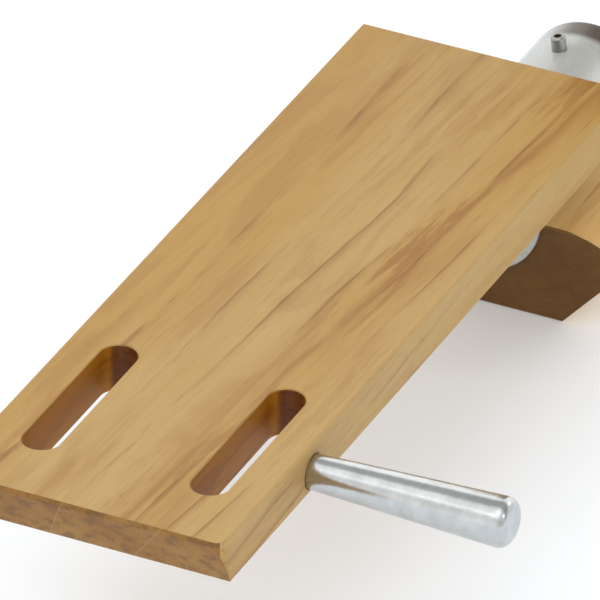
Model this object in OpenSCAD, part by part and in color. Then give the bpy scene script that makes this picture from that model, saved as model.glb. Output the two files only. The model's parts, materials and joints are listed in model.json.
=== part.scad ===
// Leather stitching pony: a cantilevered oak board on a foot, a steel swivel tube across its end,
// and a swinging arm that carries two leather-faced jaws on a height-adjustable, turning head.
// +Z is up and +Y runs from the board towards the jaws. The origin is the centre of the foot's
// underside. Millimetres.

/* [Base board] */
// Length of the board
board_l = 355; // [300:5:400]
// Width of the board
board_w = 114; // [112:1:140]
// Thickness of the board
board_t = 20; // [18:0.5:24]
// Height of the board's top face above the surface the foot stands on
board_top = 104.5; // [103:0.5:110]
// How far the board's free end slopes back towards its underside
board_undercut = 6.6; // [0:0.1:12]
// How far the board reaches over the foot
board_over_foot = 14; // [8:1:30]
// Rounding of the two upright corners at the board's free end
board_corner_r = 6; // [1:0.5:8]
// Small eased edge on the wooden pieces
ease = 0.8; // [0.3:0.1:1.5]

/* [Strap slots] */
// Width of each slot
slot_w = 15.2; // [12:0.2:16]
// End-to-end length of each slot
slot_l = 78; // [50:1:110]
// Distance between the two slots' centrelines
slot_pitch = 69.6; // [60:0.2:72]
// Distance from the board's free end to the slots
slot_from_end = 28; // [20:1:50]
// Bevel round the upper mouth of each slot
slot_bevel = 0.4; // [0.2:0.1:1]

/* [Leg peg] */
// Distance of the peg's axis from the board's free end
peg_from_end = 76; // [60:1:100]
// Diameter of the peg at the board
peg_root_d = 13.8; // [10:0.1:13.8]
// Diameter of the peg at its free end
peg_tip_d = 19.7; // [14:0.1:24]
// Length of the peg outside the board
peg_l = 82; // [50:1:110]
// Depth of the peg's axis below the board's top face
peg_drop = 12; // [8.5:0.5:12]

/* [Foot and saddle] */
// Width of the foot
foot_w = 108; // [90:1:114]
// Length of the foot along the board
foot_l = 86; // [70:1:92]
// Height of the foot's top face
foot_top = 42; // [36:0.5:44]
// Width of the bevel along the foot's two lower edges
foot_bevel = 18; // [5:0.5:20]
// Height of that bevel
foot_bevel_h = 20; // [5:0.5:22]
// Radius of the foot's two rounded shoulders
shoulder_r = 40; // [20:1:60]
// Distance from the foot's middle to where each shoulder starts
shoulder_from = 35.5; // [30:0.5:45]
// Width of the saddle between the tube and the board
saddle_w = 68; // [60:1:70]
// Length of the saddle
saddle_l = 119; // [110:1:130]
// Height of the saddle's underside
saddle_bottom = 54.5; // [52:0.5:58]

/* [Swivel tube] */
// Outer diameter of the tube
tube_d = 53.4; // [50:0.2:54]
// Wall thickness of the tube
tube_wall = 3; // [2.5:0.25:3.5]
// Length of the tube
tube_l = 108.5; // [100:0.5:110]
// Height of the tube's axis
tube_z = 43; // [42:0.5:44.5]
// How far the tube stands proud of the foot on the board's side
tube_proud = 2; // [0.5:0.5:4]
// Distance of the lock screw from the tube's far rim
lock_from_rim = 24.7; // [22:0.1:28]
// How far the lock screw leans towards -X from the tube's top
lock_tilt = 8; // [0:1:15]
// Height of the lock screw above the tube
lock_proud = 6; // [3:0.5:8]

/* [Swing arm] */
// Diameter of the arm's steel rod
arm_d = 18; // [16:0.5:18]
// Bend radius of the rod's centreline
arm_bend = 36; // [30:1:36]
// Distance of the upright post from the foot's centre
post_y = 110; // [110:1:120]
// Height of the top of the post
post_top = 189; // [180:1:190]

/* [Head] */
// Height of the head's underside
head_z = 124.5; // [124.5:0.5:130]
// Width of the jaws along the seam that they hold
jaw_w = 80; // [70:1:90]
// Thickness of the jaw boards
jaw_t = 19; // [16:0.5:19]
// Gap between the jaw boards below their tips
throat_w = 30; // [28:1:32]
// Height of the top of the jaws' wood
jaw_top = 378; // [340:1:420]
// Thickness of the leather facings
leather_t = 2.4; // [1.6:0.2:3]
// Height of the clamp bolt's axis
bolt_z = 235; // [225:1:260]
// Diameter of the clamp bolt
bolt_d = 8; // [6:0.5:8]
// Diameter of the star knob
knob_d = 52; // [40:1:60]

/* [Hidden] */
$fn = 72;
run_fit = 0.05;          // radial clearance where one piece turns or slides on another
air = 0.3;               // gap between pieces that move past each other
lip = 1;                 // how far a cutter passes a face

foot_y0 = -foot_l / 2;
board_y1 = foot_y0 + board_over_foot;
board_y0 = board_y1 - board_l;
half_board = board_w / 2;
board_bottom = board_top - board_t;
slot_y0 = board_y0 + slot_from_end;
peg_y = board_y0 + peg_from_end;
peg_z = board_top - peg_drop;
tube_r = tube_d / 2;
tube_bore = tube_r - tube_wall;
tube_y0 = foot_y0 - tube_proud;
tube_y1 = tube_y0 + tube_l;
lock_y = tube_y1 - lock_from_rim;
saddle_y1 = -3;
saddle_y0 = saddle_y1 - saddle_l;
arm_r = arm_d / 2;

// Fasteners
wood_screw_d = 5;
wood_head_d = 9.6;
small_screw_d = 3.5;
small_head_d = 7;
m6 = 6;
m6_head_d = 11;
washer_t = 1.6;

saddle_screw_x = 20;
saddle_screw_y = [saddle_y0 + 26, saddle_y0 + 62];
saddle_sink = 12;
saddle_screw_l = 31;
tube_screw_y = -14;
tube_screw_tilt = 25;
tube_screw_l = 17;
foot_bolt_y = [-14, 22];
foot_bolt_sink = 6;
foot_bolt_sink_d = 15;
foot_bolt_head_h = 4;
nut_af = 10;
nut_h = 5;

// Peg and its insert
insert_d = 12;
insert_l = 13;
insert_recess = 2;
peg_socket_d = 14.2;
stud_d = 8;
stud_l = 11;

// Bushes in the tube
bush_l = 18;
bush_near_y = tube_y0 + 7;
bush_far_y = tube_y1 - 3 - bush_l;
rim_round = 2.6;

// Arm
arm_y0 = bush_near_y - air;
bend_y = post_y - arm_bend;
bend_z = tube_z + arm_bend;
end_washer_d = 30;
thrust_collar_d = 34;
thrust_collar_l = 9;
thrust_collar_y = tube_y1 + 1;

// Height collar
collar_d = 36;
collar_h = 12;
collar_z = head_z - air - collar_h;

// Head
half_throat = throat_w / 2;
jaw_out = half_throat + jaw_t;
base_t = 25.5;
base_top = head_z + base_t;
spacer_top = base_top + 50;
jaw_z = base_top + air;
sleeve_d = 22;
sleeve_l = 42;
flange_d = 32;
flange_t = 2;
head_lock_z = head_z + 12.5;
head_lock_y = post_y - jaw_w / 2;
head_lock_d = 8;
lock_sleeve_d = 12;
lock_sleeve_l = 16;

// Jaw outline: an upright board that leans in to a rounded, leather-covered nose
nose_r = 5;
jaw_face = leather_t + 0.2;
nose_x = jaw_face + nose_r;
nose_z = jaw_top - nose_r;
bevel_angle = 30;
lean_low = jaw_top - 76;
lean_high = jaw_top - 42;
face_low = jaw_top - 40;
facing_down = 15;
bevel_start_x = nose_x + nose_r * cos(bevel_angle);
bevel_start_z = nose_z + nose_r * sin(bevel_angle);
bevel_run = (jaw_out - bevel_start_x) / sin(bevel_angle);
bevel_end_z = bevel_start_z - bevel_run * cos(bevel_angle);

// Hinge of the moving jaw
hinge_l = 60;
knuckles = 5;
knuckle_l = hinge_l / knuckles;
knuckle_r = 3;
hinge_pin_r = 1.5;
leaf_t = 1.6;
hinge_x = jaw_out + knuckle_r + air;
hinge_z = base_top + 1;
leaf_down = 22;
leaf_up = 28;
hinge_screw_y = [-20, 0, 20];
hinge_screw_l = 15;
base_hinge_screw_z = hinge_z - 12;
jaw_hinge_screw_z = hinge_z + 18;

// Clamp bolt, washer and knob
bolt_head_d = 19;
bolt_head_h = 4.5;
neck_l = 5;
bolt_end = jaw_out + 41;
clamp_washer_d = 24;
clamp_washer_x = jaw_out + air;
knob_x = clamp_washer_x + washer_t + air;
knob_h = 20;
knob_lobes = 5;
knob_hub_d = 26;
knob_insert_d = 14;

// Spring between the jaws
spring_r = 7;
spring_wire = 1.2;
spring_turns = 6;
spring_l = throat_w - 1.4;
ring_steps = 14;         // spring rings in each turn
wire_sides = 8;

jaw_screw_y = [-22, 22];
jaw_screw_z = [base_top + 14, base_top + 36];
base_screw_x = [9.5, -half_throat - jaw_t / 2];
base_screw_y = [-30, 30];

// ---- Shared shapes ----

// Points of an arc, from angle a0 to a1
function arc(cx, cy, r, a0, a1, steps) =
    [for (i = [0 : steps]) let (a = a0 + (a1 - a0) * i / steps) [cx + r * cos(a), cy + r * sin(a)]];

// A w by h rectangle about the origin with its corners cut by c
function cut_rect(w, h, c) =
    [[-w/2 + c, -h/2], [w/2 - c, -h/2], [w/2, -h/2 + c], [w/2, h/2 - c],
     [w/2 - c, h/2], [-w/2 + c, h/2], [-w/2, h/2 - c], [-w/2, -h/2 + c]];

// Extrudes a Y-Z outline along X, centred
module along_x(l) { translate([-l/2, 0, 0]) rotate([90, 0, 90]) linear_extrude(l) children(); }

// Extrudes an X-Z outline along Y, centred
module along_y(l) { translate([0, l/2, 0]) rotate([90, 0, 0]) linear_extrude(l) children(); }

// A block w by l by h on the plane Z = 0, centred in X and Y, with every edge eased
module eased_block(w, l, h, c = ease) {
    intersection() {
        linear_extrude(h) polygon(cut_rect(w, l, c));
        translate([0, 0, h/2]) along_y(l) polygon(cut_rect(w, h, c));
        translate([0, 0, h/2]) along_x(w) polygon(cut_rect(l, h, c));
    }
}

// A countersunk wood screw: head's flat face at Z = 0, pointing down
module wood_screw(d, head_d, l) {
    head_h = (head_d - d) / 2;
    rotate_extrude() polygon([[0, 0], [head_d/2, 0], [head_d/2, -0.4], [d/2, -0.4 - head_h],
                              [d/2, -l + d], [0, -l]]);
}

// The same screw with a cross recess in its head
module cross_screw(d, head_d, l) {
    difference() {
        wood_screw(d, head_d, l);
        for (a = [0, 90]) rotate([0, 0, a]) translate([0, 0, -0.8])
            cube([head_d * 0.5, head_d * 0.13, 2 * head_d * 0.13 + 0.6], center = true);
    }
}

// The hole that takes a wood screw
module screw_hole(d, head_d, l) {
    wood_screw(d + 2 * run_fit, head_d + 2 * run_fit, l + 0.5);
    cylinder(d = head_d + 2 * run_fit, h = lip);
}

// A grub screw with a hex socket: its outer end at Z = 0, pointing down
module grub_screw(d, l) {
    difference() {
        translate([0, 0, -l]) cylinder(d = d, h = l);
        translate([0, 0, -d/2]) cylinder(d = d * 0.55, h = d, $fn = 6);
    }
}

// A ring about Z with eased rims
module ring(outer_d, inner_d, h, c = 0.4) {
    o = outer_d / 2;
    i = inner_d / 2;
    rotate_extrude() polygon([[i, 0], [o - c, 0], [o, c], [o, h - c], [o - c, h], [i, h]]);
}

// Puts children on the tube's axis with their Z along +Y, starting at y
module on_tube(y) { translate([0, y, tube_z]) rotate([-90, 0, 0]) children(); }

// Puts children where a screw leaves the tube upwards through its wall into the saddle
module at_tube_screws() {
    for (side = [-1, 1]) translate([0, tube_screw_y, tube_z]) rotate([0, side * tube_screw_tilt, 0])
        children();
}

module at_saddle_screws() {
    for (x = [-1, 1], y = saddle_screw_y) translate([x * saddle_screw_x, y, saddle_bottom + saddle_sink])
        rotate([180, 0, 0]) children();
}

module at_lock() { translate([0, lock_y, tube_z]) rotate([0, -lock_tilt, 0]) children(); }

module at_foot_bolts() { for (y = foot_bolt_y) translate([0, y, foot_bolt_sink]) children(); }

// ---- Base ----

// A cutter for one strap slot, with a small bevel round its upper mouth
module slot_cutter() {
    r = slot_w / 2;
    run = slot_l - slot_w;
    translate([0, slot_y0 + r, 0]) {
        for (y = [0, run]) translate([0, y, board_bottom - lip]) cylinder(r = r, h = board_t + 2 * lip);
        translate([-r, 0, board_bottom - lip]) cube([slot_w, run, board_t + 2 * lip]);
        for (y = [0, run]) translate([0, y, board_top - slot_bevel])
            cylinder(r1 = r, r2 = r + slot_bevel, h = slot_bevel);
        translate([0, run / 2, board_top]) along_y(run)
            polygon([[-r - slot_bevel, 0], [-r, -slot_bevel], [r, -slot_bevel], [r + slot_bevel, 0],
                     [r, lip], [-r, lip]]);
    }
}

module base_board() {
    color("burlywood") difference() {
        intersection() {
            linear_extrude(board_top + lip) polygon(concat(
                arc(-half_board + board_corner_r, board_y0 + board_corner_r, board_corner_r, 180, 270, 6),
                arc(half_board - board_corner_r, board_y0 + board_corner_r, board_corner_r, 270, 360, 6),
                [[half_board, board_y1 - ease], [half_board - ease, board_y1],
                 [-half_board + ease, board_y1], [-half_board, board_y1 - ease]]));
            translate([0, board_y1, board_bottom + board_t / 2]) along_y(2 * board_l)
                polygon(cut_rect(board_w, board_t, ease));
            along_x(board_w) polygon([[board_y0, board_top - 2 * ease], [board_y0 + ease, board_top],
                [board_y1 - ease, board_top], [board_y1, board_top - ease],
                [board_y1, board_bottom + ease], [board_y1 - ease, board_bottom],
                [board_y0 + board_undercut + ease, board_bottom],
                [board_y0 + board_undercut, board_bottom + ease]]);
        }
        for (side = [-1, 1]) translate([side * slot_pitch / 2, 0, 0]) slot_cutter();
        at_saddle_screws() screw_hole(wood_screw_d, wood_head_d, saddle_screw_l);
        translate([half_board + lip, peg_y, peg_z]) rotate([0, -90, 0]) {
            cylinder(d = insert_d, h = lip + insert_l + 0.4);
            cylinder(d = peg_socket_d, h = lip + insert_recess);
        }
    }
}

module saddle_block() {
    nose = 16;
    color("peru") difference() {
        intersection() {
            translate([0, (saddle_y0 + saddle_y1) / 2, saddle_bottom])
                eased_block(saddle_w, saddle_l, board_bottom - saddle_bottom);
            along_x(saddle_w) polygon([[saddle_y0, board_bottom], [saddle_y1, board_bottom],
                [saddle_y1, saddle_bottom], [saddle_y0 + nose, saddle_bottom],
                [saddle_y0, board_bottom - nose / 2]]);
        }
        on_tube(tube_y0) cylinder(r = tube_r, h = tube_l, $fn = 96);
        at_saddle_screws() {
            screw_hole(wood_screw_d, wood_head_d, saddle_screw_l);
            cylinder(d = wood_head_d + 1, h = saddle_sink + lip);
        }
        at_tube_screws() cylinder(d = wood_screw_d, h = tube_bore + tube_screw_l + 0.5);
    }
}

module foot_block() {
    shoulder_z = foot_top - shoulder_r;
    shoulder_end = acos((foot_w / 2 - shoulder_from) / shoulder_r);
    color("saddlebrown") difference() {
        intersection() {
            eased_block(foot_w, foot_l, foot_top);
            along_y(foot_l) polygon(concat(
                [[-foot_w/2, foot_bevel_h], [-foot_w/2 + foot_bevel, 0],
                 [foot_w/2 - foot_bevel, 0], [foot_w/2, foot_bevel_h]],
                arc(shoulder_from, shoulder_z, shoulder_r, shoulder_end, 90, 8),
                arc(-shoulder_from, shoulder_z, shoulder_r, 90, 180 - shoulder_end, 8)));
        }
        on_tube(tube_y0 - lip) cylinder(r = tube_r, h = tube_l + 2 * lip, $fn = 96);
        at_foot_bolts() {
            translate([0, 0, -foot_bolt_sink - lip])
                cylinder(d = foot_bolt_sink_d, h = foot_bolt_sink + lip);
            cylinder(d = m6 + 0.6, h = foot_top);
        }
    }
}

module saddle_screws() {
    color("silver") at_saddle_screws() cross_screw(wood_screw_d, wood_head_d, saddle_screw_l);
}

// Pan-head screws driven outwards from inside the tube
module tube_screws() {
    seat = sqrt(tube_bore * tube_bore - wood_head_d * wood_head_d / 4) - 0.05;
    head_h = 2.4;
    color("silver") at_tube_screws() difference() {
        rotate_extrude() polygon([[0, seat - head_h], [wood_head_d/2 - 1, seat - head_h],
            [wood_head_d/2, seat - head_h + 1], [wood_head_d/2, seat],
            [wood_screw_d/2 - run_fit, seat], [wood_screw_d/2 - run_fit, seat + tube_screw_l - 3],
            [0, seat + tube_screw_l]]);
        for (a = [0, 90]) rotate([0, 0, a]) translate([0, 0, seat - head_h])
            cube([5, 1.2, 2.4], center = true);
    }
}

module foot_bolts() {
    top = tube_z - tube_bore + nut_h + 3;
    color("silver") at_foot_bolts() {
        translate([0, 0, -washer_t - foot_bolt_head_h])
            cylinder(d = m6_head_d, h = foot_bolt_head_h, $fn = 6);
        translate([0, 0, -washer_t]) cylinder(d = m6, h = top - foot_bolt_sink + washer_t);
    }
}

module foot_washers() {
    color("lightgray") at_foot_bolts() translate([0, 0, -washer_t]) ring(12.5, m6 + 0.2, washer_t, 0.15);
}

// Nuts welded inside the tube that take the foot's bolts
module weld_nuts() {
    across = nut_af / cos(30);
    seat = tube_z - sqrt(tube_bore * tube_bore - across * across / 4) + 0.02;
    color("silver") for (y = foot_bolt_y) translate([0, y, seat]) difference() {
        cylinder(d = across, h = nut_h, $fn = 6);
        translate([0, 0, -lip]) cylinder(d = m6 + 2 * run_fit, h = nut_h + 2 * lip);
    }
}

module swivel_tube() {
    far = tube_l - rim_round;
    color("gainsboro") difference() {
        on_tube(tube_y0) rotate_extrude($fn = 96) polygon(concat(
            [[tube_bore, 0], [tube_r - 0.6, 0], [tube_r, 0.6]],
            arc(tube_r - rim_round, far, rim_round, 0, 90, 8),
            [[tube_bore, tube_l]]));
        at_lock() cylinder(d = m6 + 2 * run_fit, h = tube_d);
        for (y = foot_bolt_y) translate([0, y, 0]) cylinder(d = m6 + 0.6, h = tube_z);
        at_tube_screws() cylinder(d = wood_screw_d + 0.2, h = tube_d);
    }
}

module tube_bush(y) {
    color("whitesmoke") on_tube(y) ring(2 * tube_bore, arm_d + 2 * run_fit, bush_l);
}

module near_bush() { tube_bush(bush_near_y); }

module far_bush() { tube_bush(bush_far_y); }

// Threaded insert that takes the peg's stud
module peg_insert() {
    color("goldenrod") translate([half_board - insert_recess, peg_y, peg_z]) rotate([0, -90, 0])
        ring(insert_d, stud_d + 2 * run_fit, insert_l - insert_recess);
}

// ---- Pieces that turn on the base ----

module leg_peg() {
    tip_r = peg_tip_d / 2;
    round_r = 3.5;
    root = half_board - insert_recess + air;
    tip = half_board + peg_l;
    color("lightsteelblue") translate([root, peg_y, peg_z]) rotate([0, 90, 0]) {
        rotate_extrude() polygon(concat([[0, 0], [peg_root_d/2 - 0.4, 0], [peg_root_d/2, 0.4]],
            arc(tip_r - round_r, tip - root - round_r, round_r, 0, 90, 8), [[0, tip - root]]));
        translate([0, 0, -stud_l]) cylinder(d = stud_d, h = stud_l + 0.5);
    }
}

module tube_lock_screw() {
    low = arm_r + air;
    high = tube_r + lock_proud;
    color("gray") at_lock() difference() {
        rotate_extrude() polygon([[0, low], [m6/2 - 0.8, low], [m6/2, low + 0.8],
                                  [m6/2, high - 0.6], [m6/2 - 0.6, high], [0, high]]);
        translate([0, 0, high - 2.5]) cylinder(d = 3.5, h = 4, $fn = 6);
    }
}

// ---- Arm ----

module swing_arm() {
    color("silver") difference() {
        union() {
            on_tube(arm_y0) cylinder(r = arm_r, h = bend_y - arm_y0);
            translate([0, bend_y, bend_z]) rotate([0, 90, 0])
                rotate_extrude(angle = 90) translate([arm_bend, 0]) circle(r = arm_r);
            translate([0, post_y, bend_z]) cylinder(r = arm_r, h = post_top - bend_z - 1);
            translate([0, post_y, post_top - 1]) cylinder(r1 = arm_r, r2 = arm_r - 1, h = 1);
        }
        on_tube(arm_y0 - lip) cylinder(d = m6 + 2 * run_fit, h = 16 + lip);
    }
}

module arm_end_washer() {
    color("lightgray") on_tube(arm_y0 - washer_t - 0.02) ring(end_washer_d, m6 + 0.4, washer_t, 0.2);
}

module arm_end_bolt() {
    color("silver") on_tube(arm_y0 - washer_t - 0.04) {
        translate([0, 0, -foot_bolt_head_h]) cylinder(d = m6_head_d, h = foot_bolt_head_h, $fn = 6);
        cylinder(d = m6, h = 15);
    }
}

// Clamped on the arm outside the tube, it stops the arm from sliding in
module thrust_collar() {
    color("dimgray") difference() {
        on_tube(thrust_collar_y) ring(thrust_collar_d, arm_d, thrust_collar_l, 0.8);
        translate([0, thrust_collar_y + thrust_collar_l / 2, tube_z - thrust_collar_d])
            cylinder(d = m6, h = thrust_collar_d);
    }
}

module thrust_grub_screw() {
    l = thrust_collar_d / 2 - arm_r - 0.6;
    color("black") translate([0, thrust_collar_y + thrust_collar_l / 2, tube_z - arm_r - l - 0.1])
        rotate([180, 0, 0]) grub_screw(m6 - 2 * run_fit, l);
}

// ---- Height collar ----

module height_collar() {
    color("dimgray") difference() {
        translate([0, post_y, collar_z]) ring(collar_d, arm_d + 2 * run_fit, collar_h, 0.8);
        translate([0, post_y - collar_d, collar_z + collar_h / 2]) rotate([-90, 0, 0])
            cylinder(d = m6, h = collar_d);
    }
}

module height_grub_screw() {
    l = collar_d / 2 - arm_r - 0.8;
    color("black") translate([0, post_y - arm_r - 0.2 - l, collar_z + collar_h / 2])
        rotate([90, 0, 0]) grub_screw(m6 - 2 * run_fit, l);
}

// ---- Head ----

module at_jaw_screws() {
    for (y = jaw_screw_y, z = jaw_screw_z) translate([-jaw_out, post_y + y, z]) rotate([0, -90, 0])
        children();
}

// Two screws up into the spacer and two up into the fixed jaw
module at_base_screws() {
    for (x = base_screw_x, y = base_screw_y) translate([x, post_y + y, head_z])
        rotate([180, 0, 0]) children();
}

module head_base() {
    color("burlywood") difference() {
        translate([0, post_y, head_z]) eased_block(2 * jaw_out, jaw_w, base_t);
        translate([0, post_y, head_z - lip]) {
            cylinder(d = sleeve_d, h = base_t + 2 * lip);
            cylinder(d = flange_d, h = lip + flange_t);
        }
        translate([0, head_lock_y - lip, head_lock_z]) rotate([-90, 0, 0])
            cylinder(d = lock_sleeve_d, h = jaw_w / 2);
        at_base_screws() screw_hole(small_screw_d, small_head_d, base_t + 18);
        at_hinge_screws(base_hinge_screw_z) screw_hole(small_screw_d, small_head_d, hinge_screw_l + 1);
    }
}

module jaw_spacer() {
    color("burlywood") difference() {
        translate([0, post_y, base_top]) eased_block(throat_w, jaw_w, spacer_top - base_top);
        translate([0, post_y, base_top - lip]) cylinder(d = sleeve_d, h = post_top - base_top + lip + 2);
        at_base_screws() screw_hole(small_screw_d, small_head_d, base_t + 18);
        at_jaw_screws() screw_hole(small_screw_d, small_head_d, jaw_t + 12);
    }
}

module head_sleeve() {
    color("goldenrod") difference() {
        translate([0, post_y, head_z]) {
            ring(flange_d, arm_d + 2 * run_fit, flange_t, 0.3);
            translate([0, 0, flange_t]) ring(sleeve_d, arm_d + 2 * run_fit, sleeve_l - flange_t, 0.3);
        }
        translate([0, post_y - sleeve_d, head_lock_z]) rotate([-90, 0, 0])
            cylinder(d = head_lock_d + 1, h = sleeve_d);
    }
}

module lock_insert() {
    color("goldenrod") translate([0, head_lock_y + 0.2, head_lock_z]) rotate([-90, 0, 0])
        ring(lock_sleeve_d, head_lock_d + 2 * run_fit, lock_sleeve_l);
}

// One jaw's outline in X-Z, for the jaw on the +X side
function jaw_outline(low) = concat(
    [[half_throat + ease, low], [jaw_out - ease, low], [jaw_out, low + ease], [jaw_out, bevel_end_z]],
    arc(nose_x, nose_z, nose_r, bevel_angle, 180, 10),
    [[jaw_face, lean_high], [half_throat, lean_low], [half_throat, low + ease]]);

// A jaw board, its ends eased, on the +X side
module jaw_board(low) {
    intersection() {
        translate([0, post_y, 0]) along_y(jaw_w) polygon(jaw_outline(low));
        translate([0, post_y, 0]) linear_extrude(jaw_top + lip) polygon(cut_rect(4 * jaw_out, jaw_w, ease));
    }
}

// The leather strip over a jaw's nose: up the face, round the nose and down the bevel
module jaw_facing() {
    outer = nose_r + leather_t;
    down = [facing_down * sin(bevel_angle), -facing_down * cos(bevel_angle)];
    out_dir = [cos(bevel_angle), sin(bevel_angle)];
    bevel_top = [nose_x, nose_z] + nose_r * out_dir;
    color("sienna") translate([0, post_y, 0]) along_y(jaw_w - 1) polygon(concat(
        [[jaw_face, face_low], [jaw_face - leather_t, face_low]],
        arc(nose_x, nose_z, outer, 180, bevel_angle, 12),
        [bevel_top + leather_t * out_dir + down, bevel_top + down],
        arc(nose_x, nose_z, nose_r, bevel_angle, 180, 12)));
}

module fixed_jaw() {
    color("burlywood") difference() {
        mirror([1, 0, 0]) jaw_board(base_top);
        translate([-jaw_out - lip, post_y, bolt_z]) rotate([0, 90, 0]) cylinder(d = bolt_d, h = 2 * jaw_out);
        translate([-jaw_out - lip, post_y - bolt_d/2 - 0.05, bolt_z - bolt_d/2 - 0.05])
            cube([neck_l + lip, bolt_d + 0.1, bolt_d + 0.1]);
        at_jaw_screws() screw_hole(small_screw_d, small_head_d, jaw_t + 12);
        at_base_screws() screw_hole(small_screw_d, small_head_d, base_t + 18);
    }
}

module fixed_facing() { mirror([1, 0, 0]) jaw_facing(); }

module fixed_jaw_screws() {
    color("silver") at_jaw_screws() cross_screw(small_screw_d, small_head_d, jaw_t + 11);
}

module head_base_screws() {
    color("silver") at_base_screws() cross_screw(small_screw_d, small_head_d, base_t + 17);
}

// Carriage bolt: domed head and square neck in the fixed jaw, threaded end out through the moving jaw
module clamp_bolt() {
    dome_r = (bolt_head_d * bolt_head_d / 4 + bolt_head_h * bolt_head_h) / (2 * bolt_head_h);
    dome_half = asin(bolt_head_d / 2 / dome_r);
    color("silver") translate([-jaw_out, post_y, bolt_z]) {
        rotate([0, -90, 0]) rotate_extrude() polygon(concat([[0, 0.02], [bolt_head_d/2, 0.02]],
            arc(0, bolt_head_h - dome_r, dome_r, 90 - dome_half, 90, 8)));
        translate([-0.02, -bolt_d/2, -bolt_d/2]) cube([neck_l, bolt_d, bolt_d]);
        rotate([0, 90, 0]) rotate_extrude() polygon([[0, 0], [bolt_d/2 - run_fit, 0],
            [bolt_d/2 - run_fit, jaw_out + bolt_end - 1], [bolt_d/2 - 1, jaw_out + bolt_end],
            [0, jaw_out + bolt_end]]);
    }
}

// ---- Hinge ----

// Screws in a leaf, pointing in from the jaw's outer face
module at_hinge_screws(z) {
    for (y = hinge_screw_y) translate([jaw_out + leaf_t, post_y + y, z]) rotate([0, 90, 0]) children();
}

// One leaf, rising from the hinge's axis to height h, or hanging from it when up is false. Its knuckles
// are the ones whose number leaves the given remainder when halved, and play is their room on the pin.
module hinge_leaf(h, up, remainder, play) {
    reach = knuckle_r + air;
    y0 = post_y - hinge_l / 2;
    screw_z = up ? jaw_hinge_screw_z : base_hinge_screw_z;
    color("lightgray") difference() {
        translate([0, 0, hinge_z]) mirror([0, 0, up ? 0 : 1]) {
            translate([jaw_out, y0, reach]) cube([leaf_t, hinge_l, h - reach]);
            for (k = [remainder : 2 : knuckles - 1]) translate([0, y0 + k * knuckle_l + air / 2, 0]) {
                translate([jaw_out, 0, air]) cube([leaf_t, knuckle_l - air, reach]);
                translate([jaw_out, 0, air]) cube([knuckle_r, knuckle_l - air, leaf_t]);
                translate([hinge_x, 0, 0]) rotate([-90, 0, 0]) cylinder(r = knuckle_r, h = knuckle_l - air);
            }
        }
        translate([hinge_x, y0 - lip, hinge_z]) rotate([-90, 0, 0])
            cylinder(r = hinge_pin_r + play, h = hinge_l + 2 * lip);
        at_hinge_screws(screw_z) screw_hole(small_screw_d, small_head_d, hinge_screw_l + 1);
    }
}

module hinge_fixed_leaf() { hinge_leaf(leaf_down, false, 0, 0); }

module hinge_moving_leaf() { hinge_leaf(leaf_up, true, 1, run_fit); }

module hinge_pin() {
    color("gray") translate([hinge_x, post_y - hinge_l/2 - 1, hinge_z]) rotate([-90, 0, 0]) {
        cylinder(r = hinge_pin_r, h = hinge_l + 2);
        for (z = [0, hinge_l + 1]) translate([0, 0, z]) cylinder(r = hinge_pin_r + 0.7, h = 1);
    }
}

module hinge_base_screws() {
    color("silver") at_hinge_screws(base_hinge_screw_z)
        cross_screw(small_screw_d, small_head_d, hinge_screw_l);
}

module hinge_jaw_screws() {
    color("silver") at_hinge_screws(jaw_hinge_screw_z)
        cross_screw(small_screw_d, small_head_d, hinge_screw_l);
}

// ---- Head lock ----

module head_lock_screw() {
    tip = post_y - arm_r - air;
    start = head_lock_y - 16;
    color("silver") translate([0, start, head_lock_z]) rotate([-90, 0, 0]) rotate_extrude()
        polygon([[0, 0], [head_lock_d/2, 0], [head_lock_d/2, tip - start - 1],
                 [head_lock_d/2 - 1, tip - start], [0, tip - start]]);
}

// Fluted grip moulded on the lock screw
module head_lock_grip() {
    grip_r = 12;
    grip_h = 15;
    flutes = 12;
    color("dimgray") translate([0, head_lock_y - 4, head_lock_z]) rotate([90, 0, 0]) difference() {
        rotate_extrude() polygon(concat([[0, 0], [7, 0], [7, 2.5], [grip_r, 2.5]],
            arc(grip_r - 2.5, grip_h - 2.5, 2.5, 0, 90, 5), [[0, grip_h]]));
        for (k = [0 : flutes - 1]) rotate([0, 0, 360 / flutes * k]) translate([grip_r + 1.2, 0, 2])
            cylinder(r = 2.2, h = grip_h);
        translate([0, 0, -lip]) cylinder(d = head_lock_d, h = 12 + lip);
    }
}

// ---- Moving jaw ----

module moving_jaw() {
    slot_drop = 4.5;
    hole_r = bolt_d / 2 + 0.4;
    color("burlywood") difference() {
        jaw_board(jaw_z);
        for (dz = [0.6, -slot_drop]) translate([half_throat - lip, post_y, bolt_z + dz]) rotate([0, 90, 0])
            cylinder(r = hole_r, h = jaw_t + 2 * lip);
        translate([half_throat - lip, post_y - hole_r, bolt_z - slot_drop])
            cube([jaw_t + 2 * lip, 2 * hole_r, slot_drop + 0.6]);
        at_hinge_screws(jaw_hinge_screw_z) screw_hole(small_screw_d, small_head_d, hinge_screw_l + 1);
    }
}

module moving_facing() { jaw_facing(); }

// ---- Clamp ----

module on_bolt(x) { translate([x, post_y, bolt_z]) rotate([0, 90, 0]) children(); }

module clamp_washer() {
    color("lightgray") on_bolt(clamp_washer_x) ring(clamp_washer_d, bolt_d + 0.4, washer_t, 0.2);
}

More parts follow.
